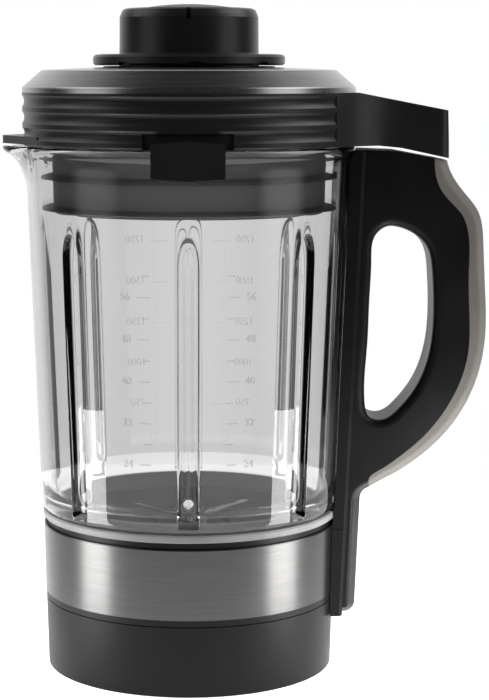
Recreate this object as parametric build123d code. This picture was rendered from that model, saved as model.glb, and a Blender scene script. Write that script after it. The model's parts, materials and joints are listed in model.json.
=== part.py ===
from build123d import *
from math import cos, radians, sin, sqrt
import os

# Heated blender jug: fluted glass jug with handle, heater and blade unit, lid and centre cap.
# Millimetres. The origin is on the jug's axis at the plane it stands on. +Z is up, the handle
# is at +X and the spout at -X.

# Driving dimensions
BASE_R = 65.0          # skirt at the foot
SKIRT_TOP_R = 65.95
SKIRT_TOP = 33.9
SOCKET_R = 62.0        # bore that drops over the motor base
SOCKET_DEPTH = 12.4
COVER_R = 61.0         # plate that closes the base above the socket
INNER_R = 60.2         # inside of the base above that plate
BAND_LOW, BAND_HIGH = 34.4, 65.7
BAND_LOW_R, BAND_HIGH_R = 66.1, 66.7
BAND_WALL = 0.7
COLLAR_TOP = 68.6
GASKET_R = 67.0
GLASS_FOOT = 72.0      # underside of the glass
GLASS_RIM = 236.4
GLASS_WALL = 4.8
FLUTES = 8
FLUTE_R = 5.6          # outer groove of a flute
FLUTE_OFFSET = 1.6     # groove axis outside the glass surface
FLUTE_TAPER_Z = 175.0
FLUTE_END = 213.0      # where a groove runs out
LID_LOW = 236.7
LID_R = 74.7
RIDGE_DEPTH = 0.9
RIDGE_PITCH = 7.1
RIDGES = 3
PLATE_LOW = 260.1
PLATE_HOLE_R = 38.7
TONGUE_END = 115.5
TONGUE_HALF = 17.0
PLUG_R = 61.6
PLUG_LOW = 207.0
NECK_R = 34.0          # filling hole through the lid
CAP_FLANGE_R = 42.9
CAP_FLANGE_LOW, CAP_FLANGE_HIGH = 272.0, 276.9
CAP_KNOB_R = 31.1
CAP_TOP = 297.0
CAP_NECK_R = 31.3
CAP_CUP_R = 28.6
CAP_NECK_LOW = 244.0
LUGS = 3
LUG_ANGLE, SLOT_ANGLE = 32.0, 40.0
HANDLE_HALF = 15.0
SADDLE_HALF = 16.5
HANDLE_LOW, HANDLE_TOP = 23.2, 234.8
SADDLE_SEAM = 63.6
BACK_BEVEL = (3.8, 8.0)  # along the flank, across the back
BEVEL_ROUND = 1.5
HOLE_ROUND = 3.6
BOWL_FLOOR = 50.0
BOWL_T = 1.2
SHAFT_R = 4.0
RUNNING_GAP = 0.05
SCREW_R = 1.5
CLEAR_R = 1.7
GAP = 0.15             # between neighbours of one body

FOOT = (Align.CENTER, Align.CENTER, Align.MIN)


# ---- helpers ----

def save(node, shape):
    export_step(shape, f"parts/{node}.step")


def disc(radius, low, high, x=0.0, y=0.0):
    return Pos(x, y, low) * Cylinder(radius, high - low, align=FOOT)


def ring(inner, outer, low, high, x=0.0, y=0.0):
    return disc(outer, low, high, x, y) - disc(inner, low - 1, high + 1, x, y)


def block(x0, x1, y0, y1, z0, z1):
    return Pos((x0 + x1) / 2, (y0 + y1) / 2, (z0 + z1) / 2) * Box(x1 - x0, y1 - y0, z1 - z0)


def side_face(*edges):
    """Face in the XZ plane from edges drawn with (x, z) points."""
    return make_face([Plane.XZ * edge for edge in edges])


def turned(*points):
    """Solid of revolution from a closed outline of (radius, height) points."""
    return revolve(side_face(Polyline(*points, close=True)), Axis.Z)


def rod_x(radius, x0, x1, y, z):
    return Pos(x0, y, z) * Rot(0, 90, 0) * Cylinder(radius, x1 - x0, align=FOOT)


def around(count, first=0.0):
    return [first + 360.0 * i / count for i in range(count)]


def at_angle(angle, radius):
    return radius * cos(radians(angle)), radius * sin(radians(angle))


def glass_r(z):
    """Outer radius of the tapered glass wall at height z."""
    return 67.6 + 0.0378 * (z - 77.0)


# ---- base ----

BASE_SCREW_AT = [at_angle(a, 56.0) for a in around(4, 45)]
HANDLE_SCREW_AT = [(y, z) for y in (-9.0, 9.0) for z in (29.0, 54.0)]
LEAD_BEND = (72.4, 44.0)
LEAD_TOP = (77.0, 219.0)
CONNECTOR_Y = 43.0
CONNECTOR_PIN_X = (-10.0, -5.0, 0.0, 5.0, 10.0)


def lead_path():
    return Plane.XZ * FilletPolyline(LEAD_TOP, LEAD_BEND, (54.0, LEAD_BEND[1]), radius=7.0)


def lead_solid(radius):
    path = lead_path()
    start = Plane(origin=path @ 0, z_dir=path % 0)
    return sweep(start * Circle(radius), path=path)


def handle_screw_holes(radius):
    return [rod_x(radius, 57.0, 72.2, y, z) for y, z in HANDLE_SCREW_AT]


def base_skirt():
    skirt = turned(
        (SOCKET_R, 0), (BASE_R, 0), (65.6, 22.0), (65.85, 31.1), (65.4, 31.35), (65.85, 31.6),
        (SKIRT_TOP_R, SKIRT_TOP), (INNER_R, SKIRT_TOP), (INNER_R, 17.5), (52.0, 17.5),
        (52.0, 15.0), (COVER_R + GAP, 15.0), (COVER_R + GAP, SOCKET_DEPTH), (SOCKET_R, SOCKET_DEPTH),
    )
    for x, y in BASE_SCREW_AT:
        skirt -= disc(CLEAR_R, 14, 19, x, y)
    skirt -= block(-19.5, 19.5, CONNECTOR_Y - 10.5, CONNECTOR_Y + 10.5, 14.9, 17.6)
    return skirt - handle_screw_holes(CLEAR_R)


def collar_ring():
    collar = turned(
        (INNER_R, SKIRT_TOP), (SKIRT_TOP_R, SKIRT_TOP), (SKIRT_TOP_R, BAND_LOW),
        (BAND_LOW_R - BAND_WALL, BAND_LOW), (BAND_HIGH_R - BAND_WALL, BAND_HIGH),
        (65.3, BAND_HIGH), (65.3, COLLAR_TOP), (64.6, COLLAR_TOP), (64.6, 67.6),
        (INNER_R, 67.6),
    )
    for x, y in BASE_SCREW_AT:
        collar += disc(4.0, 17.5, SKIRT_TOP, x, y) + disc(6.0, SKIRT_TOP, 47.0, x, y)
        collar -= disc(SCREW_R, 16.0, 30.0, x, y)
    return collar - handle_screw_holes(CLEAR_R) - lead_solid(2.0)


def steel_band():
    band = turned(
        (BAND_LOW_R - BAND_WALL, BAND_LOW), (BAND_LOW_R, BAND_LOW),
        (BAND_HIGH_R, BAND_HIGH - 0.5), (BAND_HIGH_R - 0.2, BAND_HIGH),
        (BAND_HIGH_R - BAND_WALL, BAND_HIGH),
    )
    return band - handle_screw_holes(CLEAR_R) - lead_solid(2.0)


def bottom_cover():
    cover = disc(COVER_R, SOCKET_DEPTH, 15.0)
    cover += ring(22.0, 24.0, 15.0, 19.0)
    cover -= disc(22.0, 5.0, 20.0)
    cover -= block(-17.2, 17.2, CONNECTOR_Y - 8.2, CONNECTOR_Y + 8.2, 12, 16)
    for x, y in BASE_SCREW_AT:
        cover -= disc(CLEAR_R, 12, 16, x, y) + disc(3.3, 12, 13.6, x, y)
    for radius in (32.0, 48.0):
        cover -= ring(radius, radius + 1.2, 12, 12.9)
    return cover


def base_screws():
    screws = []
    for x, y in BASE_SCREW_AT:
        head = disc(3.0, 12.4, 13.6, x, y) - Pos(x, y, 12.4) * Box(4.0, 0.8, 1.4)
        screws.append(head + disc(SCREW_R, 13.6, 28.0, x, y))
    return Compound(children=screws)


def connector_housing():
    low, high = CONNECTOR_Y - 8.0, CONNECTOR_Y + 8.0
    housing = block(-17, 17, low, high, SOCKET_DEPTH + 0.1, 29.0)
    housing += block(-19.3, 19.3, low - 2.3, high + 2.3, 15.0, 17.4)
    housing -= block(-14.5, 14.5, low + 2.5, high - 2.5, 12.0, 25.0)
    for x in CONNECTOR_PIN_X:
        housing -= disc(1.2, 24, 30, x, CONNECTOR_Y)
    return housing


def connector_pins():
    return Compound(children=[disc(1.2, 17.0, 33.0, x, CONNECTOR_Y) for x in CONNECTOR_PIN_X])


# ---- heater ----

BOWL_UNDER = BOWL_FLOOR - BOWL_T
SPREADER_LOW = BOWL_UNDER - 3.0
SENSOR_AT = (0.0, 39.2)
FUSE_X = -25.2


def heating_bowl():
    """Spun dish whose flange lies between the collar and the gasket."""
    bowl = turned(
        (0, BOWL_UNDER), (44.2, BOWL_UNDER), (52.5, 52.0), (58.6, 60.0), (59.7, 67.7),
        (64.4, 67.7), (64.4, COLLAR_TOP), (58.5, COLLAR_TOP), (57.4, 60.6), (51.8, 53.0),
        (43.8, BOWL_FLOOR), (0, BOWL_FLOOR),
    )
    return bowl - disc(12.6, 40, 60) - disc(3.0, 40, 60, *SENSOR_AT)


def heat_spreader():
    spreader = ring(22.0, 42.5, SPREADER_LOW, BOWL_UNDER)
    return spreader - disc(3.0, 40, 50, *SENSOR_AT)


def heating_element():
    """Tubular ring, flattened where it is brazed on, open towards the handle."""
    section = Plane.XZ * Pos(32, SPREADER_LOW - 3.0) * RectangleRounded(7.0, 6.0, 2.0)
    return Rot(0, 0, 20) * revolve(section, Axis.Z, revolution_arc=320)


def element_terminals():
    top = SPREADER_LOW - 6.0
    pins = []
    for angle in (23.0, -23.0):
        x, y = at_angle(angle, 32.0)
        pins.append(disc(1.6, 30.0, top, x, y) + disc(3.0, 36.0, top, x, y))
    return Compound(children=pins)


def thermostat():
    body = disc(7.2, SPREADER_LOW - 7.0, SPREADER_LOW, 32.0)
    for y in (-4.0, 4.0):
        body += block(29.5, 34.5, y - 0.4, y + 0.4, SPREADER_LOW - 15.0, SPREADER_LOW - 7.0)
    return body


def thermal_fuse():
    body = Pos(FUSE_X, 0, SPREADER_LOW - 2.6) * Rot(90, 0, 0) * Cylinder(1.8, 11.0)
    wire = Pos(FUSE_X, 0, SPREADER_LOW - 2.6) * Rot(90, 0, 0) * Cylinder(0.5, 24.0)
    return body + wire


def fuse_clip():
    clip = block(FUSE_X - 2.8, FUSE_X + 2.8, -2.5, 2.5, SPREADER_LOW - 5.0, SPREADER_LOW)
    return clip - Pos(FUSE_X, 0, SPREADER_LOW - 2.6) * Rot(90, 0, 0) * Cylinder(1.8, 12.0)


def temperature_sensor():
    x, y = SENSOR_AT
    probe = disc(3.0, 36.0, 52.5, x, y) + Pos(x, y, 52.5) * Sphere(3.0)
    return probe + ring(2.9, 4.6, BOWL_FLOOR, BOWL_FLOOR + 0.8, x, y)


# ---- blade unit ----

HOUSING_TOP = 56.6
BLADE_Z = 58.6
BLADE_T = 1.5
TEETH = 8


def bearing_housing():
    housing = turned(
        (8.0, 22.0), (12.5, 22.0), (12.5, BOWL_FLOOR + 0.8), (20.0, BOWL_FLOOR + 0.8),
        (20.0, 52.4), (16.5, 54.2), (11.5, 55.4), (9.5, HOUSING_TOP), (5.5, HOUSING_TOP),
        (5.5, 52.6), (8.0, 52.6), (8.0, 39.0), (6.8, 39.0), (6.8, 30.0), (8.0, 30.0),
    )
    return housing - ring(7.9, 8.7, 22.9, 23.9)


def housing_gasket():
    return ring(12.6, 19.0, BOWL_FLOOR, BOWL_FLOOR + 0.8)


def housing_nut():
    nut = extrude(Pos(0, 0, 40.0) * RegularPolygon(19.5, 6), SPREADER_LOW + 3.0 - 40.0)
    return nut - disc(12.5, 39, 50)


def bearing(low):
    return ring(SHAFT_R + RUNNING_GAP, 8.0, low, low + 5.0)


def shaft_seal():
    return ring(SHAFT_R + RUNNING_GAP, 8.0, 46.5, 52.4)


def circlip(inner, outer, low, high):
    clip = ring(inner, outer, low, high)
    return clip - block(0, outer + 1, -1.4, 1.4, low - 1, high + 1)


def blade_shaft():
    shaft = disc(SHAFT_R, 12.8, 69.0)
    return shaft - ring(3.4, SHAFT_R + 1, 13.4, 14.2)


def blade_arm(angle, bend):
    """One arm of a blade: bent at the hub, tapered, with teeth on its leading edge."""
    reach = 24.0
    outline = Polyline((0, -6), (reach, -2.5), (reach - 3, 5), (0, 6), close=True)
    arm = extrude(make_face(outline), BLADE_T)
    step = (reach - 5.0) / TEETH
    for i in range(TEETH):
        x = 2.0 + i * step
        notch = Polyline((x, -7), (x + step * 0.5, -4.6 + i * 0.35), (x + step, -7), close=True)
        arm -= Pos(0, 0, -1) * extrude(make_face(notch), BLADE_T + 2)
    return Rot(0, 0, angle) * Pos(7.5, 0, 0) * Rot(0, -bend, 0) * arm


def blade(low, first_angle, bend):
    hub = disc(9.0, 0, BLADE_T)
    body = hub + blade_arm(first_angle, bend) + blade_arm(first_angle + 180, bend)
    return Pos(0, 0, low) * (body - disc(SHAFT_R, -2, 6))


def blade_spacer():
    return ring(SHAFT_R, 7.0, HOUSING_TOP + 0.4, BLADE_Z)


def blade_nut():
    low = BLADE_Z + 2 * BLADE_T
    nut = extrude(Pos(0, 0, low) * RegularPolygon(7.2, 6), 5.0) + ring(SHAFT_R, 7.0, low, low + 1.0)
    nut += Pos(0, 0, low + 5.0) * Cone(5.8, 3.0, 5.4, align=FOOT)
    return nut - disc(SHAFT_R, low - 1, 69.0)


def drive_coupling():
    coupling = disc(8.6, 12.8, 21.0) + disc(14.0, 18.6, 21.0)
    for angle in around(8):
        coupling += Rot(0, 0, angle) * block(7.0, 12.6, -1.7, 1.7, 12.8, 18.6)
    return coupling - disc(SHAFT_R, 12, 22) - disc(6.8, 12, 14.4)


# ---- glass ----

def glass_spout(inset):
    """Pouring lip, flaring from the wall to the rim; inset makes its inner side."""
    rim = GLASS_RIM + 0.6 * inset
    sections = []
    for z, reach, radius in ((214.0, 71.8, 15.0), (228.0, 76.0, 13.0), (rim, 84.0, 10.0)):
        sections.append(Pos(radius - reach, 0, z) * Circle(radius - inset))
    return loft(sections)


def flute(radius, taper_end, angle):
    """Tapered rod that follows the glass wall; it leaves a pointed arch where it runs out."""
    axis_r = glass_r(GLASS_FOOT) + FLUTE_OFFSET
    lean = 2.165
    low = GLASS_FOOT - 6.0
    rod = Cylinder(radius, FLUTE_TAPER_Z - low, align=FOOT)
    rod += Pos(0, 0, FLUTE_TAPER_Z - low) * Cone(radius, 0.05, taper_end - FLUTE_TAPER_Z, align=FOOT)
    return Rot(0, 0, angle) * Pos(axis_r, 0, low) * Rot(0, lean, 0) * rod


def glass_jug():
    outer = turned(
        (0, GLASS_FOOT), (64.8, GLASS_FOOT), (66.4, 72.6), (67.3, 74.0), (67.6, 77.0),
        (glass_r(205), 205), (73.0, 230.0), (74.0, 232.8), (74.2, 235.2), (73.4, GLASS_RIM),
        (0, GLASS_RIM),
    )
    inner = turned(
        (0, GLASS_FOOT - 1), (60.6, GLASS_FOOT - 1), (60.6, 76.0), (61.6, 79.0),
        (glass_r(84) - GLASS_WALL, 84), (glass_r(205) - GLASS_WALL, 205), (69.6, GLASS_RIM + 1),
        (0, GLASS_RIM + 1),
    )
    rib_r = FLUTE_R + GLASS_WALL
    ribs = [flute(rib_r, 253.0, a) for a in around(FLUTES, 45)]
    grooves = [flute(FLUTE_R, FLUTE_END, a) for a in around(FLUTES, 45)]
    cavity = inner + glass_spout(4.2)
    cavity = cavity - [rib - disc(80, 60, 77.5) for rib in ribs]
    return outer + glass_spout(0) - cavity - grooves


def glass_gasket():
    return turned(
        (59.2, COLLAR_TOP), (66.4, COLLAR_TOP), (GASKET_R, 69.2), (GASKET_R, 71.3),
        (66.4, GLASS_FOOT), (60.45, GLASS_FOOT), (60.45, 76.0), (59.2, 76.0),
    )


# ---- handle ----

def split_x(z):
    """Edge between the saddle against the glass and the handle itself."""
    return 69.6 + 8.9 * (z - HANDLE_LOW) / (HANDLE_TOP - HANDLE_LOW)


def handle_silhouette():
    """Side outline: flat top, curved back, then straight down the spine to a rounded foot."""
    grip_end = (91.6, 86.9)
    neck_x, foot_x = 77.95, 75.6
    top = Polyline((split_x(HANDLE_TOP), HANDLE_TOP), (92.0, 234.3), (115.3, 229.9))
    back = Spline(
        (115.3, 229.9), (117.8, 223.2), (123.2, 215.6), (129.5, 207.3), (132.2, 193.0),
        (133.2, 174.0), (133.9, 154.0), (130.8, 133.5), (120.5, 112.0), (104.8, 95.7), grip_end,
    )
    slope = (back % 1).Y / (back % 1).X
    neck = (neck_x, grip_end[1] + slope * (neck_x - grip_end[0]))
    foot = (split_x(HANDLE_LOW), HANDLE_LOW)
    spine = FilletPolyline(grip_end, neck, (foot_x, HANDLE_LOW), foot, radius=5.0)
    return side_face(top, back, spine, Line(foot, (split_x(HANDLE_TOP), HANDLE_TOP)))


def finger_hole():
    return side_face(Spline(
        (90.5, 200.9), (98.8, 198.4), (106.0, 192.0), (108.8, 180.0), (109.5, 160.0), (106.9, 140.0),
        (101.6, 127.6), (94.4, 118.4), (87.4, 113.6), (81.4, 114.8), (79.2, 121.5), (80.2, 148.0),
        (80.9, 168.0), (81.6, 186.0), (83.6, 197.2), periodic=True,
    ))


def handle_blank():
    """Handle with its grip strip in one piece: bevelled to the back, finger hole rounded."""
    solid = extrude(handle_silhouette(), HANDLE_HALF, both=True)
    for flank_at in (0, -1):
        flank = solid.faces().sort_by(Axis.Y)[flank_at]
        back_edges = [e for e in flank.edges() if is_back_edge(e)]
        solid = chamfer(back_edges, *BACK_BEVEL, reference=flank)
    ridges = [e for e in flank_edges(solid) if is_back_edge(e)]
    solid = fillet(ridges, BEVEL_ROUND)
    solid -= extrude(finger_hole(), HANDLE_HALF + 1, both=True)
    hole_edges = [e for e in flank_edges(solid) if e.is_closed]
    return fillet(hole_edges, HOLE_ROUND)


def lies_in_flank(edge):
    in_plane = abs(abs(edge.center().Y) - HANDLE_HALF) < 0.01
    return in_plane and edge.bounding_box().size.Y < 0.01


def flank_edges(solid):
    return solid.edges().filter_by(lies_in_flank)


def is_back_edge(edge):
    """True on the outer silhouette, false on the top and on the split against the saddle."""
    middle = edge.center()
    return middle.X > split_x(middle.Z) + 1.5 and HANDLE_LOW + 0.1 < middle.Z < 228.0


def strip_region():
    """Outline of all that lies outside the grip strip's inner edge, out to clear air."""
    edge = Spline(
        (108.4, 240.0), (108.9, 229.0), (110.2, 221.0), (114.6, 213.6), (121.5, 206.0), (124.3, 198.0),
        (124.8, 178.0), (125.6, 158.0), (125.0, 143.0), (118.2, 123.3), (102.6, 103.2), (93.8, 96.0),
        (85.2, 90.2), (81.6, 87.4), (81.2, 84.6), (83.4, 80.4),
    )
    away = Polyline((83.4, 80.4), (150.0, 80.4), (150.0, 240.0), (108.4, 240.0))
    return extrude(side_face(edge, away), HANDLE_HALF + 2, both=True)


BOARD_POCKET = (84.0, 105.0, -9.0, 9.0, 207.0, 228.6)


def upper_screw_holes(radius, x0):
    return [rod_x(radius, x0, 84.5, y, 222.0) for y in (-6.0, 6.0)]


def handle_body(blank):
    body = blank - strip_region() - block(*BOARD_POCKET)
    body -= block(82.0, 107.0, -11.0, 11.0, 228.6, 236.0)
    body -= upper_screw_holes(CLEAR_R, 74.0)
    return body - lead_solid(1.9) - handle_screw_holes(SCREW_R)


def grip_strip(blank):
    return blank & strip_region()


def switch_cover(blank):
    return blank & block(82.0 + GAP, 107.0 - GAP, -11.0 + GAP, 11.0 - GAP, 228.6, 236.0)


def jug_envelope():
    """Everything that the saddle pieces have to clear."""
    g = GAP
    return turned(
        (0, 10), (SKIRT_TOP_R + g, 10), (SKIRT_TOP_R + g, BAND_LOW), (BAND_LOW_R + g, BAND_LOW),
        (BAND_HIGH_R + g, BAND_HIGH), (GASKET_R + g, COLLAR_TOP), (GASKET_R + g, GLASS_FOOT),
        (67.6 + g, 74.0), (67.6 + g, 77.0), (glass_r(205) + g, 205), (73.0 + g, 230.0),
        (74.2 + g, 232.8), (74.2 + g, 240), (0, 240),
    )


def saddle_blank(low, high):
    x_low, x_high = split_x(low), split_x(high)
    outline = Polyline((58, low), (x_low, low), (x_high, high), (58, high), close=True)
    saddle = extrude(side_face(outline), SADDLE_HALF, both=True)
    long_edges = [e for e in saddle.edges() if e.center().X > 65 and e.bounding_box().size.Z > 20]
    return chamfer(long_edges, 1.5) - jug_envelope()


def handle_saddle():
    saddle = saddle_blank(SADDLE_SEAM + 0.2, HANDLE_TOP)
    return saddle - lead_solid(1.9) - upper_screw_holes(SCREW_R, 74.0)


def base_saddle():
    saddle = saddle_blank(HANDLE_LOW, SADDLE_SEAM)
    return saddle - lead_solid(1.9) - handle_screw_holes(SCREW_R)


def handle_screws():
    screws = []
    for y, z in HANDLE_SCREW_AT:
        screws.append(rod_x(3.0, 56.6, 58.6, y, z) + rod_x(SCREW_R, 58.6, 72.0, y, z))
    return Compound(children=screws)


def upper_handle_screws():
    screws = []
    for y in (-6.0, 6.0):
        screws.append(rod_x(2.6, 84.0, 86.0, y, 222.0) + rod_x(SCREW_R, 74.4, 84.0, y, 222.0))
    return Compound(children=screws)


def lid_switch_board():
    board = block(88.0, 103.0, -8.0, 8.0, 223.0, 224.6)
    post = block(94.0, 98.0, -2.0, 2.0, 207.0, 223.0)
    return board + post


def reed_switch():
    capsule = rod_x(1.2, 90.5, 100.5, 0, 226.0) + rod_x(0.4, 89.0, 102.0, 0, 226.0)
    for x in (89.0, 101.2):
        capsule += block(x, x + 0.8, -0.4, 0.4, 224.6, 226.2)
    return capsule


# ---- lid ----

def lid_ring():
    """Ridged wall and sloping deck, turned."""
    edges = [Line((71.4, LID_LOW), (73.9, LID_LOW)), Line((73.9, LID_LOW), (LID_R, LID_LOW + 0.9))]
    z = LID_LOW + 0.9
    crest = 1.9
    for _ in range(RIDGES):
        edges.append(Line((LID_R, z), (LID_R, z + crest)))
        z += crest
        valley = (LID_R - RIDGE_DEPTH, z + (RIDGE_PITCH - crest) / 2)
        edges.append(ThreePointArc((LID_R, z), valley, (LID_R, z + RIDGE_PITCH - crest)))
        z += RIDGE_PITCH - crest
    deck = Polyline(
        (LID_R, z), (LID_R, PLATE_LOW), (73.5, PLATE_LOW), (73.4, 261.9), (65.4, 268.6), (44.0, 269.8),
        (38.4, 269.9), (38.4, 271.7), (NECK_R, 271.7), (NECK_R, 265.4), (31.7, 265.4), (31.7, 262.4),
        (36.2, 262.4), (36.2, 240.0), (38.4, 240.0), (38.4, 267.2), (44.0, 267.2), (64.6, 266.0),
        (71.4, 260.0), (71.4, LID_LOW),
    )
    return revolve(side_face(*edges, deck), Axis.Z)


def tongue_plan():
    """Plan of the tongue: straight sides that sweep out of the lid's circle."""
    blend = 45.0
    reach = sqrt((LID_R + blend) ** 2 - (TONGUE_HALF + blend) ** 2)
    touch = LID_R / (LID_R + blend)
    ends = []
    for side in (-1, 1):
        centre_y = side * (TONGUE_HALF + blend)
        start = (reach * touch, centre_y * touch)
        stop = (reach, side * TONGUE_HALF)
        bend = RadiusArc(start, stop, blend * -side)
        ends.append((start, stop, bend))
    (low_start, low_stop, low_arc), (high_start, high_stop, high_arc) = ends
    corner = 5.0
    root_x = 40.0
    x, y = TONGUE_END, TONGUE_HALF
    return make_face([
        low_arc, Line(low_stop, (x - corner, -y)),
        RadiusArc((x - corner, -y), (x, corner - y), -corner), Line((x, corner - y), (x, y - corner)),
        RadiusArc((x, y - corner), (x - corner, y), -corner), Line((x - corner, y), high_stop),
        high_arc, Line(high_start, (root_x, high_start[1])),
        Line((root_x, high_start[1]), (root_x, low_start[1])), Line((root_x, low_start[1]), low_start),
    ])


def tongue_profile(wall, low_lift=0.0):
    """Side outline of the tongue, inset by wall."""
    return side_face(Polyline(
        (40.0, LID_LOW + low_lift), (83.7, 236.9 + low_lift), (94.0, 235.8 + low_lift),
        (TONGUE_END - wall, 231.1 + low_lift), (TONGUE_END - 0.9 - wall, 252.3 - wall),
        (74.5, PLATE_LOW - wall), (40.0, PLATE_LOW - wall), close=True,
    ))


def tongue():
    plan = extrude(Pos(0, 0, 225.0) * tongue_plan(), 40.0)
    return plan & extrude(tongue_profile(0.0), 60.0, both=True)


def tongue_cavity():
    core = block(70.0, TONGUE_END - 2.6, 2.4 - TONGUE_HALF, TONGUE_HALF - 2.4, 225.0, 262.0)
    return core & extrude(tongue_profile(2.4, -2.0), 60.0, both=True)


def spout_cover():
    tip_r, tip_x = 7.0, -76.8
    side = sqrt(tip_x ** 2 - (LID_R - tip_r) ** 2)
    lean = (LID_R - tip_r) / -tip_x
    across = side / -tip_x
    big = (-LID_R * lean, LID_R * across)
    small = (tip_x - tip_r * lean, tip_r * across)
    wedge = make_face(Polyline(
        (-50, -big[1]), (big[0], -big[1]), (small[0], -small[1]), small, big, (-50, big[1]), close=True,
    ))
    plan = wedge + Pos(tip_x, 0) * Circle(tip_r)
    return extrude(Pos(0, 0, 237.5) * plan, 3.5) - disc(72.0, 230, 250)


TAB_HALF = 15.5


def tab_recess(side):
    cut = block(-19.0, 19.0, -80.0, -60.0, LID_LOW - 1, 243.6) - disc(72.6, 230, 250)
    return Rot(0, 0, 0 if side < 0 else 180) * cut


def lid_tab(side):
    """Lifting tab: a block with a shallow peaked front, standing outside the glass."""
    front = Plane.XZ.offset(70.0) * make_face(Polyline(
        (-TAB_HALF, 225.2), (0, 224.2), (TAB_HALF, 225.2), (TAB_HALF, 239.4), (0, 240.6), (-TAB_HALF, 239.4),
        close=True,
    ))
    tab = extrude(front, 8.2)
    top_edges = tab.edges().filter_by(lambda e: e.center().Z > 239 and e.center().Y < -78)
    tab = chamfer(top_edges, 0.8)
    tab -= disc(74.7, 220, LID_LOW) + disc(72.6, LID_LOW - 1, 250)
    return Rot(0, 0, 0 if side < 0 else 180) * tab


LID_SCREW_AT = [at_angle(a, 64.4) for a in around(4, 45)]


def lid_body():
    body = lid_ring() + (tongue() - disc(73.0, 220, 270)) + spout_cover()
    body -= tongue_cavity() - disc(73.4, 220, 270)
    for x, y in LID_SCREW_AT:
        body += disc(3.1, 239.5, 266.5, x, y)
        body -= disc(SCREW_R, 239.0, 252.0, x, y)
    for angle in around(LUGS):
        body -= sector(31.0, NECK_R, 262.0, 266.0, angle, SLOT_ANGLE)
    return body - tab_recess(-1) - tab_recess(1)


def sector(inner, outer, low, high, angle, width):
    section = Plane.XZ * Pos((inner + outer) / 2, (low + high) / 2) * Rectangle(outer - inner, high - low)
    return Rot(0, 0, angle - width / 2) * revolve(section, Axis.Z, revolution_arc=width)


def lid_top_plate():
    return turned(
        (73.7, PLATE_LOW), (LID_R, PLATE_LOW), (74.6, 262.2), (74.2, 262.7), (66.2, 269.6),
        (65.2, 269.95), (44.0, 270.9), (PLATE_HOLE_R + 0.3, 271.1), (PLATE_HOLE_R, 271.0),
        (PLATE_HOLE_R, 270.1), (44.0, 269.95), (65.4, 268.8), (73.6, 262.0),
    )


def lid_plug():
    plug = turned(
        (NECK_R, PLUG_LOW), (60.2, PLUG_LOW), (61.0, 207.8), (PLUG_R, 237.2), (71.0, 237.2),
        (71.0, 239.4), (59.8, 239.4), (58.9, 209.2), (36.0, 209.2), (36.0, 262.2), (NECK_R, 262.2),
    )
    for low, high in ((208.0, 210.6), (221.6, 224.4)):
        plug -= ring(59.8, 64.0, low, high)
    for x, y in LID_SCREW_AT:
        plug -= disc(CLEAR_R, 236, 241, x, y)
    return plug


def plug_lip(low, high, reach):
    middle = (low + high) / 2
    return turned(
        (59.8, low), (62.0, low), (reach, middle - 0.5), (reach, middle + 0.3), (62.0, high),
        (59.8, high),
    )


def lid_screws():
    screws = []
    for x, y in LID_SCREW_AT:
        screws.append(disc(2.2, 235.9, 237.2, x, y) + disc(SCREW_R, 237.2, 249.0, x, y))
    return Compound(children=screws)


def tongue_cover():
    end = TONGUE_END - 2.8
    strip = side_face(Polyline(
        (75.4, 237.1), (83.7, 237.1), (94.0, 236.0), (end, 232.1), (end, 233.8), (94.0, 237.7),
        (83.7, 238.8), (75.4, 238.8), close=True,
    ))
    cover = extrude(strip, TONGUE_HALF - 2.6, both=True)
    return cover + ring(4.1, 5.6, 237.0, 242.0, 95.0)


def lid_magnet():
    return disc(4.0, 238.0, 241.6, 95.0)


# ---- centre cap ----

def cap_body():
    wall = CAP_NECK_R
    cap = turned(
        (CAP_CUP_R, CAP_NECK_LOW), (wall, CAP_NECK_LOW), (wall, 266.6), (30.35, 266.6), (30.35, 270.4),
        (wall, 270.4), (wall, CAP_FLANGE_LOW), (41.9, CAP_FLANGE_LOW), (CAP_FLANGE_R, 272.8),
        (CAP_FLANGE_R, 275.6), (42.0, 276.6), (40.0, CAP_FLANGE_HIGH), (31.6, CAP_FLANGE_HIGH),
        (CAP_KNOB_R, 277.4), (30.95, 293.0), (30.5, 294.4), (29.6, 296.3), (28.2, CAP_TOP),
        (22.3, CAP_TOP), (22.3, 295.2), (0, 295.2), (0, 293.0), (CAP_CUP_R - 1.2, 293.0),
        (CAP_CUP_R - 0.8, 276.0),
    )
    for angle in around(8, 4):
        cap -= Rot(0, 0, angle) * block(40.6, 44.0, -3.2, 3.2, 271.0, 273.4)
    for angle in around(LUGS):
        cap += sector(wall - 0.5, 33.6, 258.4, 261.8, angle, LUG_ANGLE)
    return cap - Rot(0, 0, -90) * block(28.8, 32.0, -0.9, 0.9, 292.0, 298.0)


def cap_insert():
    dome = Pos(0, 0, 299.0 - 120.0) * Sphere(120.0)
    return disc(22.15, 295.2, 300.0) & dome


def cap_seal():
    return turned((30.4, 267.0), (33.2, 267.0), (33.7, 268.0), (33.7, 269.0), (33.2, 270.0), (30.4, 270.0))


# ---- write the nodes ----

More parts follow.
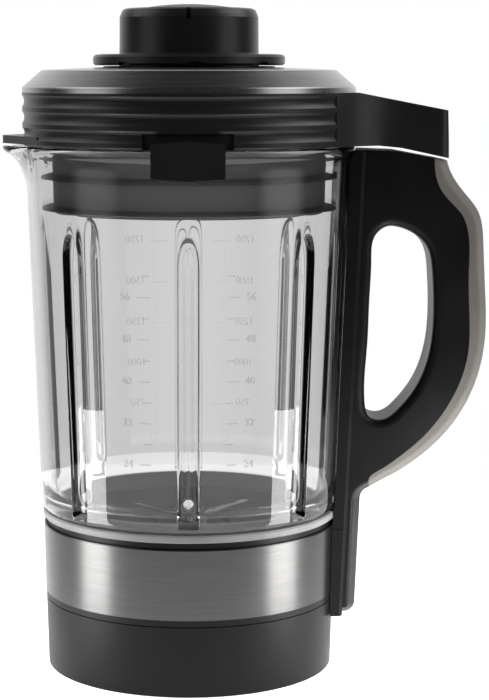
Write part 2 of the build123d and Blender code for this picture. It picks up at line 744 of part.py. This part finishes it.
def main():
    os.makedirs("parts", exist_ok=True)
    blank = handle_blank()
    nodes = {
        "base_skirt": base_skirt(),
        "collar_ring": collar_ring(),
        "steel_band": steel_band(),
        "bottom_cover": bottom_cover(),
        "base_screws": base_screws(),
        "connector_housing": connector_housing(),
        "connector_pins": connector_pins(),
        "heating_bowl": heating_bowl(),
        "heat_spreader": heat_spreader(),
        "heating_element": heating_element(),
        "element_terminals": element_terminals(),
        "thermostat": thermostat(),
        "thermal_fuse": thermal_fuse(),
        "fuse_clip": fuse_clip(),
        "temperature_sensor": temperature_sensor(),
        "bearing_housing": bearing_housing(),
        "housing_gasket": housing_gasket(),
        "housing_nut": housing_nut(),
        "lower_bearing": bearing(25.0),
        "upper_bearing": bearing(39.0),
        "shaft_seal": shaft_seal(),
        "bearing_circlip": circlip(6.6, 8.7, 22.9, 23.9),
        "blade_shaft": blade_shaft(),
        "blade_spacer": blade_spacer(),
        "lower_blade": blade(BLADE_Z, 100.0, -12.0),
        "upper_blade": blade(BLADE_Z + BLADE_T, 10.0, 32.0),
        "blade_nut": blade_nut(),
        "drive_coupling": drive_coupling(),
        "shaft_circlip": circlip(3.4, 6.4, 13.4, 14.2),
        "glass_jug": glass_jug(),
        "glass_gasket": glass_gasket(),
        "handle_body": handle_body(blank),
        "grip_strip": grip_strip(blank),
        "switch_cover": switch_cover(blank),
        "handle_saddle": handle_saddle(),
        "base_saddle": base_saddle(),
        "handle_screws": handle_screws(),
        "upper_handle_screws": upper_handle_screws(),
        "lid_switch_board": lid_switch_board(),
        "reed_switch": reed_switch(),
        "switch_lead": lead_solid(1.3),
        "lid_body": lid_body(),
        "lid_top_plate": lid_top_plate(),
        "lid_plug": lid_plug(),
        "lid_seal_upper": plug_lip(221.6, 224.4, 66.6),
        "lid_seal_lower": plug_lip(208.0, 210.6, 66.2),
        "lid_screws": lid_screws(),
        "lid_tab_front": lid_tab(-1),
        "lid_tab_rear": lid_tab(1),
        "tongue_cover": tongue_cover(),
        "lid_magnet": lid_magnet(),
        "cap_body": cap_body(),
        "cap_insert": cap_insert(),
        "cap_seal": cap_seal(),
    }
    for node, shape in nodes.items():
        save(node, shape)


main()
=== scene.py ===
import bpy
import json
from math import cos, pi, radians, sin
from mathutils import Matrix, Vector


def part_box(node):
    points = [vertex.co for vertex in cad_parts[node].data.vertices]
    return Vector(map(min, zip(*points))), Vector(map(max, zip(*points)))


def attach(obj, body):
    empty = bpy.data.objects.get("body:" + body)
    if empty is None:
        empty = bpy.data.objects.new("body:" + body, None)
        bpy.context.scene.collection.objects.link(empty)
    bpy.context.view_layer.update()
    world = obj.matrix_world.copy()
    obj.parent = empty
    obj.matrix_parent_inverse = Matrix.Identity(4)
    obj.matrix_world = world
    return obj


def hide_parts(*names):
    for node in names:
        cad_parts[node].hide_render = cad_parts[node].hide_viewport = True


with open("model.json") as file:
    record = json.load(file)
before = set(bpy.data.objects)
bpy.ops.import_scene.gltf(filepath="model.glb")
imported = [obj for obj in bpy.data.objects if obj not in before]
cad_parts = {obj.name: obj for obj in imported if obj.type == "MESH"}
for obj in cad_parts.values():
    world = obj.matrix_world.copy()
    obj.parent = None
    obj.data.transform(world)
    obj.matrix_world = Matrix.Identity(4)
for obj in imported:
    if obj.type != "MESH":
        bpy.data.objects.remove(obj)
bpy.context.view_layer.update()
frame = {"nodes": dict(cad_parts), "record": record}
NODES = frame["nodes"]
MM = 0.001


# ---- node helpers ----

def new_material(name):
    material = bpy.data.materials.new(name)
    material.use_nodes = True
    nodes, links = material.node_tree.nodes, material.node_tree.links
    return material, nodes, links, nodes["Principled BSDF"]


def coordinates(nodes):
    return nodes.new("ShaderNodeTexCoord").outputs["Object"]


def noise(nodes, links, vector, scale, detail=3.0, roughness=0.5):
    node = nodes.new("ShaderNodeTexNoise")
    node.inputs["Scale"].default_value = scale
    node.inputs["Detail"].default_value = detail
    node.inputs["Roughness"].default_value = roughness
    links.new(vector, node.inputs["Vector"])
    return node.outputs["Fac"]


def remap(nodes, links, value, low, high, from_low=0.3, from_high=0.7):
    node = nodes.new("ShaderNodeMapRange")
    node.inputs["From Min"].default_value = from_low
    node.inputs["From Max"].default_value = from_high
    node.inputs["To Min"].default_value = low
    node.inputs["To Max"].default_value = high
    links.new(value, node.inputs["Value"])
    return node.outputs["Result"]


def shades(nodes, links, value, dark, light):
    node = nodes.new("ShaderNodeValToRGB")
    node.color_ramp.elements[0].position = 0.3
    node.color_ramp.elements[1].position = 0.7
    node.color_ramp.elements[0].color = (*dark, 1)
    node.color_ramp.elements[1].color = (*light, 1)
    links.new(value, node.inputs["Fac"])
    return node.outputs["Color"]


def bump(nodes, links, value, strength, depth):
    node = nodes.new("ShaderNodeBump")
    node.inputs["Strength"].default_value = strength
    node.inputs["Distance"].default_value = depth
    links.new(value, node.inputs["Height"])
    return node.outputs["Normal"]


def polar(nodes, links):
    """Vector of (turns round the Z axis, radius, height), which follows a turned part's lay."""
    split = nodes.new("ShaderNodeSeparateXYZ")
    links.new(coordinates(nodes), split.inputs[0])
    turn = nodes.new("ShaderNodeMath")
    turn.operation = "ARCTAN2"
    links.new(split.outputs["Y"], turn.inputs[0])
    links.new(split.outputs["X"], turn.inputs[1])
    flat = nodes.new("ShaderNodeCombineXYZ")
    links.new(split.outputs["X"], flat.inputs["X"])
    links.new(split.outputs["Y"], flat.inputs["Y"])
    length = nodes.new("ShaderNodeVectorMath")
    length.operation = "LENGTH"
    links.new(flat.outputs[0], length.inputs[0])
    joined = nodes.new("ShaderNodeCombineXYZ")
    links.new(turn.outputs[0], joined.inputs["X"])
    links.new(length.outputs["Value"], joined.inputs["Y"])
    links.new(split.outputs["Z"], joined.inputs["Z"])
    return joined.outputs[0]


def scaled(nodes, links, vector, scale):
    node = nodes.new("ShaderNodeMapping")
    node.inputs["Scale"].default_value = scale
    links.new(vector, node.inputs["Vector"])
    return node.outputs["Vector"]


# ---- materials ----

def moulded(name, dark, light, roughness, grain=1800.0, depth=0.00002, specular=0.3):
    """Moulded plastic: fine spark-eroded grain, slow colour drift and uneven gloss."""
    material, nodes, links, shader = new_material(name)
    where = coordinates(nodes)
    drift = noise(nodes, links, where, 35.0, 3.0)
    fine = noise(nodes, links, where, grain, 2.0, 0.6)
    links.new(shades(nodes, links, drift, dark, light), shader.inputs["Base Color"])
    gloss = remap(nodes, links, drift, roughness - 0.04, roughness + 0.05)
    links.new(gloss, shader.inputs["Roughness"])
    links.new(bump(nodes, links, fine, 0.35, depth), shader.inputs["Normal"])
    shader.inputs["Specular IOR Level"].default_value = specular
    return material


def turned_metal(name, dark, light, roughness, along_z=True, anisotropic=0.5, depth=0.000012):
    """Metal brushed or turned round the axis: long fine lines and broader streaks."""
    material, nodes, links, shader = new_material(name)
    lay = polar(nodes, links)
    across = (1.2, 9000.0, 9000.0) if along_z else (1.2, 9000.0, 300.0)
    lines = noise(nodes, links, scaled(nodes, links, lay, across), 1.0, 4.0, 0.65)
    streaks = noise(nodes, links, scaled(nodes, links, lay, (2.4, 900.0, 900.0)), 1.0, 3.0)
    links.new(shades(nodes, links, streaks, dark, light), shader.inputs["Base Color"])
    links.new(remap(nodes, links, lines, roughness - 0.05, roughness + 0.08), shader.inputs["Roughness"])
    links.new(bump(nodes, links, lines, 0.12, depth), shader.inputs["Normal"])
    shader.inputs["Metallic"].default_value = 1.0
    shader.inputs["Anisotropic"].default_value = anisotropic
    shader.inputs["Anisotropic Rotation"].default_value = 0.25
    tangent = nodes.new("ShaderNodeTangent")
    tangent.direction_type = "RADIAL"
    tangent.axis = "Z"
    links.new(tangent.outputs[0], shader.inputs["Tangent"])
    return material


def cast_metal(name, dark, light, roughness):
    material, nodes, links, shader = new_material(name)
    where = coordinates(nodes)
    blotch = noise(nodes, links, where, 120.0, 4.0)
    fine = noise(nodes, links, where, 2500.0, 2.0)
    links.new(shades(nodes, links, blotch, dark, light), shader.inputs["Base Color"])
    links.new(remap(nodes, links, blotch, roughness - 0.06, roughness + 0.06), shader.inputs["Roughness"])
    links.new(bump(nodes, links, fine, 0.3, 0.00002), shader.inputs["Normal"])
    shader.inputs["Metallic"].default_value = 1.0
    return material


def pressed_glass(name, tint, roughness=0.0, wave=0.00005):
    """Pressed glass: clear, with the slow waves that the mould leaves."""
    material, nodes, links, shader = new_material(name)
    where = coordinates(nodes)
    waves = noise(nodes, links, scaled(nodes, links, where, (1, 1, 0.35)), 45.0, 2.0, 0.4)
    film = noise(nodes, links, where, 300.0, 3.0)
    links.new(bump(nodes, links, waves, 0.15, wave), shader.inputs["Normal"])
    links.new(remap(nodes, links, film, roughness, roughness + 0.025), shader.inputs["Roughness"])
    light = tuple(min(1.0, c * 1.01) for c in tint)
    links.new(shades(nodes, links, waves, tint, light), shader.inputs["Base Color"])
    shader.inputs["Transmission Weight"].default_value = 1.0
    shader.inputs["IOR"].default_value = 1.5
    return material


def soft_touch(name, dark, light, roughness=0.6):
    """Rubbery skin: soft sheen, fine pores and slight mottling."""
    material, nodes, links, shader = new_material(name)
    where = coordinates(nodes)
    mottle = noise(nodes, links, where, 60.0, 4.0)
    pores = noise(nodes, links, where, 3000.0, 2.0, 0.7)
    links.new(shades(nodes, links, mottle, dark, light), shader.inputs["Base Color"])
    links.new(remap(nodes, links, mottle, roughness - 0.05, roughness + 0.05), shader.inputs["Roughness"])
    links.new(bump(nodes, links, pores, 0.4, 0.00002), shader.inputs["Normal"])
    shader.inputs["Sheen Weight"].default_value = 0.04
    shader.inputs["Specular IOR Level"].default_value = 0.2
    return material


MATERIALS = {
    "black_plastic": moulded(
        "black_plastic", (0.0042, 0.0043, 0.0044), (0.0060, 0.0061, 0.0062), 0.38, specular=0.15,
    ),
    "lid_black": moulded(
        "lid_black", (0.0078, 0.0080, 0.0082), (0.0102, 0.0104, 0.0106), 0.32, specular=0.24,
    ),
    "brushed_steel": turned_metal(
        "brushed_steel", (0.088, 0.087, 0.086), (0.100, 0.099, 0.098), 0.31, True, 0.6, 0.000006,
    ),
    "plate_silver": turned_metal("plate_silver", (0.26, 0.26, 0.265), (0.31, 0.31, 0.315), 0.24, False, 0.2),
    "clear_glass": pressed_glass("clear_glass", (0.975, 0.972, 0.973), 0.0, 0.00001),
    "grey_silicone": soft_touch("grey_silicone", (0.17, 0.17, 0.167), (0.21, 0.21, 0.207), 0.45),
    "dark_silicone": soft_touch("dark_silicone", (0.016, 0.016, 0.016), (0.025, 0.025, 0.025), 0.5),
    "plug_grey": moulded("plug_grey", (0.155, 0.155, 0.155), (0.168, 0.168, 0.168), 0.55, specular=0.2),
    "grip_taupe": soft_touch("grip_taupe", (0.122, 0.113, 0.103), (0.146, 0.137, 0.125), 0.75),
    "insert_grey": moulded("insert_grey", (0.022, 0.024, 0.024), (0.034, 0.036, 0.036), 0.42),
    "bowl_steel": turned_metal("bowl_steel", (0.045, 0.045, 0.046), (0.075, 0.075, 0.076), 0.38),
    "blade_steel": cast_metal("blade_steel", (0.16, 0.16, 0.16), (0.22, 0.22, 0.22), 0.26),
    "machined_steel": turned_metal("machined_steel", (0.07, 0.07, 0.07), (0.10, 0.10, 0.10), 0.34),
    "zinc_steel": cast_metal("zinc_steel", (0.50, 0.50, 0.47), (0.62, 0.62, 0.58), 0.34),
    "aluminium": cast_metal("aluminium", (0.56, 0.56, 0.57), (0.68, 0.68, 0.69), 0.42),
    "brass": cast_metal("brass", (0.50, 0.36, 0.15), (0.64, 0.49, 0.24), 0.3),
    "board_green": moulded("board_green", (0.012, 0.08, 0.03), (0.02, 0.12, 0.045), 0.3, 900.0),
    "magnet": cast_metal("magnet", (0.42, 0.42, 0.41), (0.54, 0.54, 0.53), 0.22),
    "reed_glass": pressed_glass("reed_glass", (0.7, 0.85, 0.7)),
}


def paint_nodes():
    slot_of = {part["node"]: part["material_slot"] for part in frame["record"]["subparts"]}
    for name, obj in NODES.items():
        obj.data.materials.clear()
        obj.data.materials.append(MATERIALS[slot_of[name]])


# ---- glass jug: one closed surface, turned, with flutes and a spout ----

FLUTES = 8
FLUTE_HALF = 4.8 * MM
FLUTE_DEPTH = 3.8 * MM
RIB_HALF = 5.6 * MM
RIB_HEIGHT = 3.2 * MM
SPOUT_HALF = 19.95 * MM
WALL = 4.8 * MM
WALL_LOW_R = 67.6 * MM     # outside radius at WALL_LOW above the foot
WALL_LOW = 5.0 * MM
WALL_SLOPE = 0.0378
GROOVE_ARCH, GROOVE_TIP = 116.0 * MM, 128.0 * MM
RIB_ARCH, RIB_TIP = 108.0 * MM, 136.0 * MM
FINE_HALF = 6.6 * MM     # stretch across a flute where the mesh is close
FINE_R = 68.0 * MM        # radius the stretch is laid off at
FINE_STEPS = 56
COARSE_STEPS = 36


def wall_radius(z):
    """Outer radius of the glass at height z, counted from the foot of the glass node."""
    low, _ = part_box("glass_jug")
    return WALL_LOW_R + WALL_SLOPE * (z - low[2] - WALL_LOW)


def blend_in(value, low, high):
    share = min(1.0, max(0.0, (value - low) / (high - low)))
    return share * share * (3 - 2 * share)


def between(value, table):
    """Straight interpolation in a short list of (height, size) pairs."""
    for (z0, a), (z1, b) in zip(table, table[1:]):
        if value <= z1:
            return a + (b - a) * max(0.0, value - z0) / (z1 - z0)
    return table[-1][1]


def flute_share(z, arch, tip, power):
    """Width of a flute against its full width: full below arch, closing at tip, pointed at power 1."""
    if z >= tip:
        return 0.0
    if z <= arch:
        return 1.0
    return (1.0 - ((z - arch) / (tip - arch)) ** power) ** (1.0 / power)


def groove(across, half):
    """Round bottomed groove with steep sides and softened edges, from 0 to 1."""
    if half <= 0 or abs(across) >= half:
        return 0.0
    depth = (1.0 - (abs(across) / half) ** 2.6) ** 0.5
    return depth * blend_in(half - abs(across), -0.05 * MM, 0.4 * MM)


def spout_reach(z, rim):
    """How far the pouring lip stands out of the wall at height z."""
    steps = (
        (20.0, 0.0), (17.0, 0.35), (13.4, 1.3), (11.0, 2.2), (7.5, 3.6), (4.4, 5.8), (1.6, 9.1),
        (0.0, 9.8),
    )
    return between(z, [(rim - drop * MM, out * MM) for drop, out in steps])


def spout_share(across, half):
    """Height of the lip's cross section against its middle."""
    if abs(across) >= half:
        return 0.0
    return (1.0 - (abs(across) / half) ** 1.7) ** 1.4


def glass_profile(foot, rim):
    """Outline of (radius, height, side), from the inner foot down, round and up to the inner rim."""
    outer = [(60.6, 0.0), (63.4, 0.0), (65.4, 0.25), (66.5, 0.9), (67.2, 2.0), (67.5, 3.4)]
    rows = [(r * MM, foot + z * MM, "foot") for r, z in outer]
    steps = 160
    top = rim - 8.0 * MM
    for i in range(steps + 1):
        z = foot + WALL_LOW + (top - foot - WALL_LOW) * i / steps
        rows.append((wall_radius(z), z, "outer"))
    bead = (
        (0.35, 6.4), (0.55, 5.0), (1.0, 4.0), (1.35, 3.1), (1.45, 2.2), (1.3, 1.2), (0.9, 0.45),
        (0.2, 0.05), (-0.8, 0.0), (-2.4, 0.0), (-3.4, 0.3), (-4.0, 1.0), (-4.4, 2.2), (-4.7, 4.0),
    )
    for out, drop in bead:
        side = "outer" if out > -1 else "inner"
        rows.append((wall_radius(top) + out * MM, rim - drop * MM, side))
    low = foot + 13.0 * MM
    for i in range(steps + 1):
        z = top - (top - low) * i / steps
        rows.append((wall_radius(z) - WALL, z, "inner"))
    heel = ((62.7, 10.5), (62.3, 8.5), (61.7, 7.0), (61.0, 5.6), (60.6, 4.6), (60.5, 3.0), (60.5, 1.4))
    for r, z in heel:
        rows.append((r * MM, foot + z * MM, "foot"))
    return rows


def glass_turns():
    """Angles round the wall, close together across each flute."""
    sector = 2 * pi / FLUTES
    fine = FINE_HALF / FINE_R
    turns = []
    for k in range(FLUTES):
        turns += [k * sector + fine * (2 * i / FINE_STEPS - 1) for i in range(FINE_STEPS)]
        turns += [k * sector + fine + (sector - 2 * fine) * i / COARSE_STEPS for i in range(COARSE_STEPS)]
    return turns


def glass_point(row, angle, foot, rim):
    """Point of the glass: the turned profile with its groove or rib and the pouring lip."""
    radius, z, side = row
    nearest = round(angle / (2 * pi / FLUTES)) * 2 * pi / FLUTES
    across = (angle - nearest) * radius
    r = radius
    if side == "outer":
        share = flute_share(z, foot + GROOVE_ARCH, foot + GROOVE_TIP, 2.0)
        fade = blend_in(z, foot + 0.5 * MM, foot + 4.0 * MM)
        r -= FLUTE_DEPTH * fade * min(1.0, 1.8 * share) * groove(across, FLUTE_HALF * share)
        r += spout_reach(z, rim) * spout_share((angle - pi) * radius, SPOUT_HALF)
    if side == "inner":
        share = flute_share(z, foot + RIB_ARCH, foot + RIB_TIP, 1.0)
        swell = blend_in(RIB_HALF - abs(across), 0.0, RIB_HALF)
        r -= RIB_HEIGHT * share * swell * blend_in(z, foot + 7.0 * MM, foot + 16.0 * MM)
        r += 0.93 * spout_reach(z, rim) * spout_share((angle - pi) * radius, 0.78 * SPOUT_HALF)
    return r * cos(angle), r * sin(angle), z


def glass_piece():
    """The glass wall as one closed mesh, in place of the plainer glass node."""
    low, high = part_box("glass_jug")
    foot, rim = low[2], high[2]
    rows = glass_profile(foot, rim)
    turns = glass_turns()
    around = len(turns)
    verts = [glass_point(row, angle, foot, rim) for row in rows for angle in turns]
    count = len(rows)
    faces = []
    for j in range(count):
        a, b = j * around, (j + 1) % count * around
        for i in range(around):
            k = (i + 1) % around
            faces.append((a + i, a + k, b + k, b + i))
    mesh = bpy.data.meshes.new("glass_wall")
    mesh.from_pydata(verts, [], faces)
    mesh.polygons.foreach_set("use_smooth", [True] * len(faces))
    mesh.materials.append(MATERIALS["clear_glass"])
    piece = bpy.data.objects.new("glass_wall", mesh)
    bpy.context.collection.objects.link(piece)
    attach(piece, "jug")
    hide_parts("glass_jug")


# ---- capacity marks, moulded on the outside of the wall ----

MARK_HEIGHT = 0.16 * MM


def on_wall(obj, turn, z, lift=0.0):
    """Stands a flat piece on the outside of the wall, turn degrees from the rear centre line."""
    radius = wall_radius(z) + lift
    out = Vector((sin(radians(turn)), cos(radians(turn)), 0))
    along = Vector((-cos(radians(turn)), sin(radians(turn)), 0))
    axes = Matrix((along, Vector((0, 0, 1)), out)).transposed().to_4x4()
    obj.matrix_world = Matrix.Translation(out * radius + Vector((0, 0, z))) @ axes


def mark_text(name, words, turn, z, size):
    curve = bpy.data.curves.new(name, "FONT")
    curve.body = words
    curve.size = size
    curve.extrude = MARK_HEIGHT
    curve.resolution_u = 3
    curve.align_x = "CENTER"
    curve.align_y = "CENTER"
    obj = bpy.data.objects.new(name, curve)
    bpy.context.collection.objects.link(obj)
    curve.materials.append(MATERIALS["mark_glass"])
    on_wall(obj, turn, z, 0.1 * MM)
    return obj


def mark_line(name, turn, z, width, thick=0.5 * MM):
    """Bar that follows the wall's curve."""
    radius = wall_radius(z)
    steps = 8
    points = []
    for low in (True, False):
        for skin in (0.05 * MM, 0.05 * MM + 2 * MARK_HEIGHT):
            row = []
            for i in range(steps + 1):
                angle = radians(turn) + (i / steps - 0.5) * width / radius
                r = radius + skin
                height = z - thick / 2 if low else z + thick / 2
                row.append((r * sin(angle), r * cos(angle), height))
            points.append(row)
    inner_low, outer_low, inner_high, outer_high = range(4)
    corners = (inner_low, outer_low, outer_high, inner_high)
    verts = [p for row in points for p in row]
    count = steps + 1
    faces = []
    for i in range(steps):
        for a, b in zip(corners, corners[1:] + corners[:1]):
            faces.append((a * count + i, a * count + i + 1, b * count + i + 1, b * count + i))
    faces.append(tuple(c * count for c in corners))
    faces.append(tuple(c * count + steps for c in reversed(corners)))
    mesh = bpy.data.meshes.new(name)
    mesh.from_pydata(verts, [], faces)
    mesh.materials.append(MATERIALS["mark_glass"])
    obj = bpy.data.objects.new(name, mesh)
    bpy.context.collection.objects.link(obj)
    return obj


ML_ZERO = 48.8 * MM
PER_ML = 39.7 * MM / 500
PER_OZ = 28.41 * PER_ML
FRONT = 180.0             # turn round the wall from the back to the front


def capacity_marks():
    """Millilitres in two columns read from behind, ounces in two columns read from the front."""
    MATERIALS["mark_glass"] = pressed_glass("mark_glass", (0.86, 0.87, 0.87), 0.12)
    pieces = []
    for side, name in ((-1, "left"), (1, "right")):
        for ml in range(750, 2000, 250):
            z = ML_ZERO + ml * PER_ML
            pieces.append(mark_text(f"ml_{name}_{ml}", str(ml), side * 23.0, z + 1.0 * MM, 5.2 * MM))
            pieces.append(mark_line(f"ml_line_{name}_{ml}", side * 13.0, z, 9 * MM))
        for oz in range(24, 64, 8):
            z = ML_ZERO + oz * PER_OZ
            pieces.append(mark_text(f"oz_{name}_{oz}", str(oz), FRONT + side * 22.0, z, 4.6 * MM))
            pieces.append(mark_line(f"oz_line_{name}_{oz}", FRONT + side * 15.5, z, 5 * MM))
            pieces.append(mark_line(f"oz_half_{name}_{oz}", FRONT + side * 14.5, z + 4 * PER_OZ, 3 * MM))
    for piece in pieces:
        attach(piece, "jug")


# ---- studio ----

FLOOR_GLOW = 0.72
FLOOR_GLOW_IN_GLASS = 0.0
FLOOR_REACH = 0.45
SKY_BASE = 0.035


def studio_floor():
    mesh = bpy.data.meshes.new("floor")
    """Round card under the jug; it glows less to rays that come through the glass."""
    sides, drop = 64, -0.0002
    corners = [2 * pi * i / sides for i in range(sides)]
    rim = [(FLOOR_REACH * cos(a), FLOOR_REACH * sin(a), drop) for a in corners]
    mesh.from_pydata(rim, [], [tuple(range(sides))])
    floor = bpy.data.objects.new("floor", mesh)
    bpy.context.collection.objects.link(floor)
    material, nodes, links, shader = new_material("floor_card")
    fibre = noise(nodes, links, coordinates(nodes), 400.0, 3.0)
    card = shades(nodes, links, fibre, (0.88, 0.88, 0.88), (0.90, 0.90, 0.90))
    links.new(card, shader.inputs["Base Color"])
    shader.inputs["Roughness"].default_value = 0.9
    shader.inputs["Emission Color"].default_value = (1, 1, 1, 1)
    path = nodes.new("ShaderNodeLightPath")
    glow = remap(nodes, links, path.outputs["Is Transmission Ray"], FLOOR_GLOW, FLOOR_GLOW_IN_GLASS, 0, 1)
    links.new(glow, shader.inputs["Emission Strength"])
    mesh.materials.append(material)


def lobe(nodes, links, direction, aim, inner, outer, strength):
    """Soft box in the sky: full within inner degrees of aim, gone beyond outer."""
    dot = nodes.new("ShaderNodeVectorMath")
    dot.operation = "DOT_PRODUCT"
    dot.inputs[1].default_value = Vector(aim).normalized()
    links.new(direction, dot.inputs[0])
    fade = nodes.new("ShaderNodeMapRange")
    fade.interpolation_type = "SMOOTHSTEP"
    fade.inputs["From Min"].default_value = cos(radians(outer))
    fade.inputs["From Max"].default_value = cos(radians(inner))
    fade.inputs["To Max"].default_value = strength
    links.new(dot.outputs["Value"], fade.inputs["Value"])
    return fade.outputs["Result"]


def total(nodes, links, values):
    result = values[0]
    for value in values[1:]:
        node = nodes.new("ShaderNodeMath")
        node.operation = "ADD"
        links.new(result, node.inputs[0])
        links.new(value, node.inputs[1])
        result = node.outputs[0]
    return result


def seen_through(nodes, links, direction):
    """Light met by a ray that has left the glass: high ahead and behind, lower to the sides."""
    dot = nodes.new("ShaderNodeVectorMath")
    dot.operation = "DOT_PRODUCT"
    dot.inputs[1].default_value = (0, 1, 0)
    links.new(direction, dot.inputs[0])
    size = nodes.new("ShaderNodeMath")
    size.operation = "ABSOLUTE"
    links.new(dot.outputs["Value"], size.inputs[0])
    return remap(nodes, links, size.outputs[0], 0.12, 0.68, 0.35, 0.975)


def studio_world():
    """White surround to look at, a greyer one behind glass, and soft boxes to light by."""
    world = bpy.data.worlds.new("studio")
    bpy.context.scene.world = world
    world.use_nodes = True
    nodes, links = world.node_tree.nodes, world.node_tree.links
    direction = nodes.new("ShaderNodeTexCoord").outputs["Generated"]
    boxes = [
        lobe(nodes, links, direction, (-0.93, -0.36, 0.05), 6, 24, 1.2),
        lobe(nodes, links, direction, (0.93, -0.36, 0.05), 6, 24, 1.6),
        lobe(nodes, links, direction, (-0.80, 0.05, 0.60), 8, 30, 2.6),
        lobe(nodes, links, direction, (0.80, 0.05, 0.60), 8, 30, 4.2),
        lobe(nodes, links, direction, (0.0, 1.0, 0.05), 30, 75, 1.0),
    ]
    base = nodes.new("ShaderNodeValue")
    base.outputs[0].default_value = SKY_BASE
    light = total(nodes, links, boxes + [base.outputs[0]])
    path = nodes.new("ShaderNodeLightPath")
    glass = nodes.new("ShaderNodeMix")
    glass.data_type = "FLOAT"
    links.new(path.outputs["Is Transmission Ray"], glass.inputs["Factor"])
    links.new(light, glass.inputs["A"])
    links.new(seen_through(nodes, links, direction), glass.inputs["B"])
    pick = nodes.new("ShaderNodeMix")
    pick.data_type = "FLOAT"
    links.new(path.outputs["Is Camera Ray"], pick.inputs["Factor"])
    links.new(glass.outputs["Result"], pick.inputs["A"])
    pick.inputs["B"].default_value = 1.0
    background = nodes["Background"]
    background.inputs["Color"].default_value = (1, 1, 1, 1)
    links.new(pick.outputs["Result"], background.inputs["Strength"])


def area_light(name, place, aim, size, power, glossy):
    data = bpy.data.lights.new(name, "AREA")
    data.shape = "RECTANGLE"
    data.size, data.size_y = size
    data.energy = power
    light = bpy.data.objects.new(name, data)
    bpy.context.collection.objects.link(light)
    light.location = place
    light.rotation_euler = (Vector(aim) - Vector(place)).to_track_quat("-Z", "Y").to_euler()
    light.visible_camera = False
    light.visible_transmission = False
    light.visible_glossy = glossy


STRIP_TURN = 63.5
STRIP_AWAY = 0.16
STRIP_HEIGHT = 0.052


def lights():
    """Soft key and fill, and two upright strips that draw the bright bars down the steel band."""
    area_light("key", (-0.9, -0.9, 1.1), (0, 0, 0.15), (0.7, 0.7), 7, False)
    area_light("fill", (1.0, -0.7, 0.8), (0.05, 0, 0.15), (0.6, 0.9), 5, False)
    for side, name in ((-1, "strip_left"), (1, "strip_right")):
        turn = radians(STRIP_TURN)
        place = (side * STRIP_AWAY * sin(turn), -STRIP_AWAY * cos(turn), STRIP_HEIGHT)
        area_light(name, place, (0, 0, STRIP_HEIGHT), (0.062, 0.10), 0.185, True)


CAMERA_PLACE = (0.0060, -0.9286, 0.2697)
CAMERA_SHIFT = 0.060
CAMERA_TILT = 7.742
CAMERA_LENS = 105.74


def camera():
    data = bpy.data.cameras.new("camera")
    data.lens = CAMERA_LENS
    data.sensor_width = 36.0
    data.shift_x = CAMERA_SHIFT
    data.clip_start = 0.01
    obj = bpy.data.objects.new("camera", data)
    bpy.context.collection.objects.link(obj)
    obj.location = CAMERA_PLACE
    obj.rotation_euler = (radians(90 - CAMERA_TILT), 0, 0)
    bpy.context.scene.camera = obj


def colour_management():
    bpy.context.scene.view_settings.view_transform = "Standard"
    bpy.context.scene.view_settings.look = "None"


camera()
paint_nodes()
glass_piece()
capacity_marks()
studio_floor()
studio_world()
lights()
colour_management()
